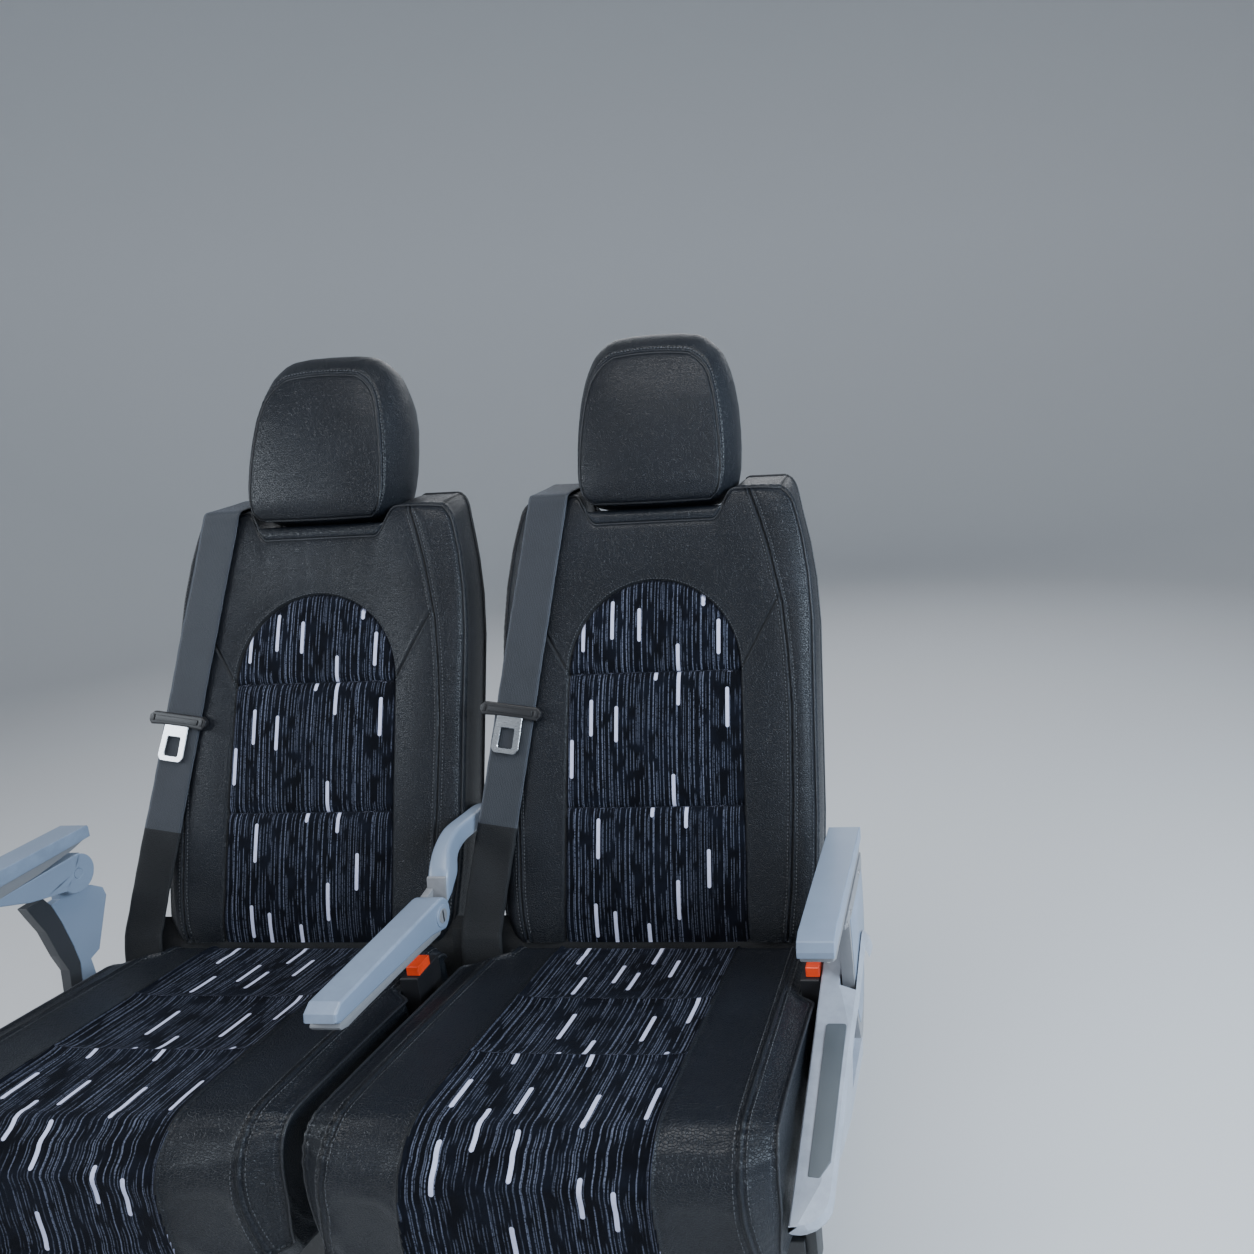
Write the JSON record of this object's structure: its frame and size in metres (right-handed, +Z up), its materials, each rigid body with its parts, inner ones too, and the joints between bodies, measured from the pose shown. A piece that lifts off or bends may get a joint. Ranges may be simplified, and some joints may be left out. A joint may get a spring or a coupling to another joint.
{
  "type": "twin coach passenger seat",
  "caption": "Pair of reclining coach seats on one underframe, with headrests, shoulder belts, buckles and folding armrests, bolted to the floor and the side wall.",
  "frame": {"origin": "centre of the pedestal's four floor bolts, on the floor under the aisle seat's centre line", "axes": "+Z up, the seats face -Y, +X towards the aisle"},
  "size_m": [1.055, 0.7438, 1.1981],
  "materials": {
    "leather": "satin, fine pebbled grain",
    "seat_fabric": "plush weave with fine broken stripes",
    "frame_paint": "satin black powder coat",
    "armrest_grey": "satin silver grey",
    "insert_grey": "fine textured dark grey",
    "shell_plastic": "textured charcoal",
    "black_plastic": "smooth black",
    "webbing": "ribbed woven webbing",
    "tongue_steel": "bright",
    "button_red": "orange red",
    "post_steel": "bright",
    "pocket_vinyl": "grained",
    "trim_dark": "dark strip"
  },
  "bodies": {
    "underframe": {"pedestal": "frame_paint", "front_beam": "frame_paint", "rear_beam": "frame_paint", "wall_bracket": "frame_paint", "centre_hinge_bracket": "frame_paint", "aisle_hinge_bracket": "frame_paint", "window_hinge_bracket": "frame_paint", "aisle_seat_pan": "black_plastic", "window_seat_pan": "black_plastic", "aisle_seat_cushion": "leather", "window_seat_cushion": "leather", "aisle_side_panel": "armrest_grey", "aisle_panel_insert": "insert_grey", "window_armrest_bracket": "armrest_grey", "window_bracket_trim": "trim_dark", "aisle_buckle": "black_plastic", "aisle_buckle_button": "button_red", "window_buckle": "black_plastic", "window_buckle_button": "button_red", "aisle_belt_anchor": "webbing", "window_belt_anchor": "webbing"},
    "aisle_back": {"aisle_back_frame": "frame_paint", "aisle_back_cushion": "leather", "aisle_back_shell": "shell_plastic", "aisle_seat_pocket": "pocket_vinyl", "aisle_shoulder_belt": "webbing", "aisle_belt_stop": "black_plastic", "aisle_belt_tongue": "tongue_steel"},
    "aisle_headrest": {"aisle_headrest": "leather", "aisle_headrest_posts": "post_steel"},
    "window_back": {"window_back_frame": "frame_paint", "window_back_cushion": "leather", "window_back_shell": "shell_plastic", "window_seat_pocket": "pocket_vinyl", "window_shoulder_belt": "webbing", "window_belt_stop": "black_plastic", "window_belt_tongue": "tongue_steel", "centre_armrest_bracket": "armrest_grey"},
    "window_headrest": {"window_headrest": "leather", "window_headrest_posts": "post_steel"},
    "centre_armrest": {"centre_armrest": "armrest_grey"},
    "aisle_armrest": {"aisle_armrest_pad": "armrest_grey", "aisle_armrest_leg": "armrest_grey"},
    "window_armrest": {"window_armrest_pad": "armrest_grey", "window_armrest_beam": "armrest_grey"}
  },
  "joints": [
    {"name": "aisle_recline", "type": "hinge", "parent": "underframe", "child": "aisle_back", "pos_m": [0, 0.228, 0.393], "axis": [-1, 0, 0], "range_deg": [0, 18]},
    {"name": "window_recline", "type": "hinge", "parent": "underframe", "child": "window_back", "pos_m": [-0.475, 0.228, 0.393], "axis": [-1, 0, 0], "range_deg": [0, 18]},
    {"name": "aisle_headrest_height", "type": "slide", "parent": "aisle_back", "child": "aisle_headrest", "axis": [0, 0.3256, 0.9455], "range_m": [0, 0.05]},
    {"name": "window_headrest_height", "type": "slide", "parent": "window_back", "child": "window_headrest", "axis": [0, 0.3256, 0.9455], "range_m": [0, 0.05]},
    {"name": "centre_armrest_fold", "type": "hinge", "parent": "window_back", "child": "centre_armrest", "pos_m": [-0.2395, 0.06, 0.538], "axis": [-1, 0, 0], "range_deg": [0, 100]},
    {"name": "aisle_armrest_fold", "type": "hinge", "parent": "underframe", "child": "aisle_armrest", "pos_m": [0.2625, 0.062, 0.4], "axis": [-1, 0, 0], "range_deg": [0, 80]},
    {"name": "window_armrest_fold", "type": "hinge", "parent": "underframe", "child": "window_armrest", "pos_m": [-0.757, 0.117, 0.567], "axis": [-1, 0, 0], "range_deg": [0, 90]}
  ]
}
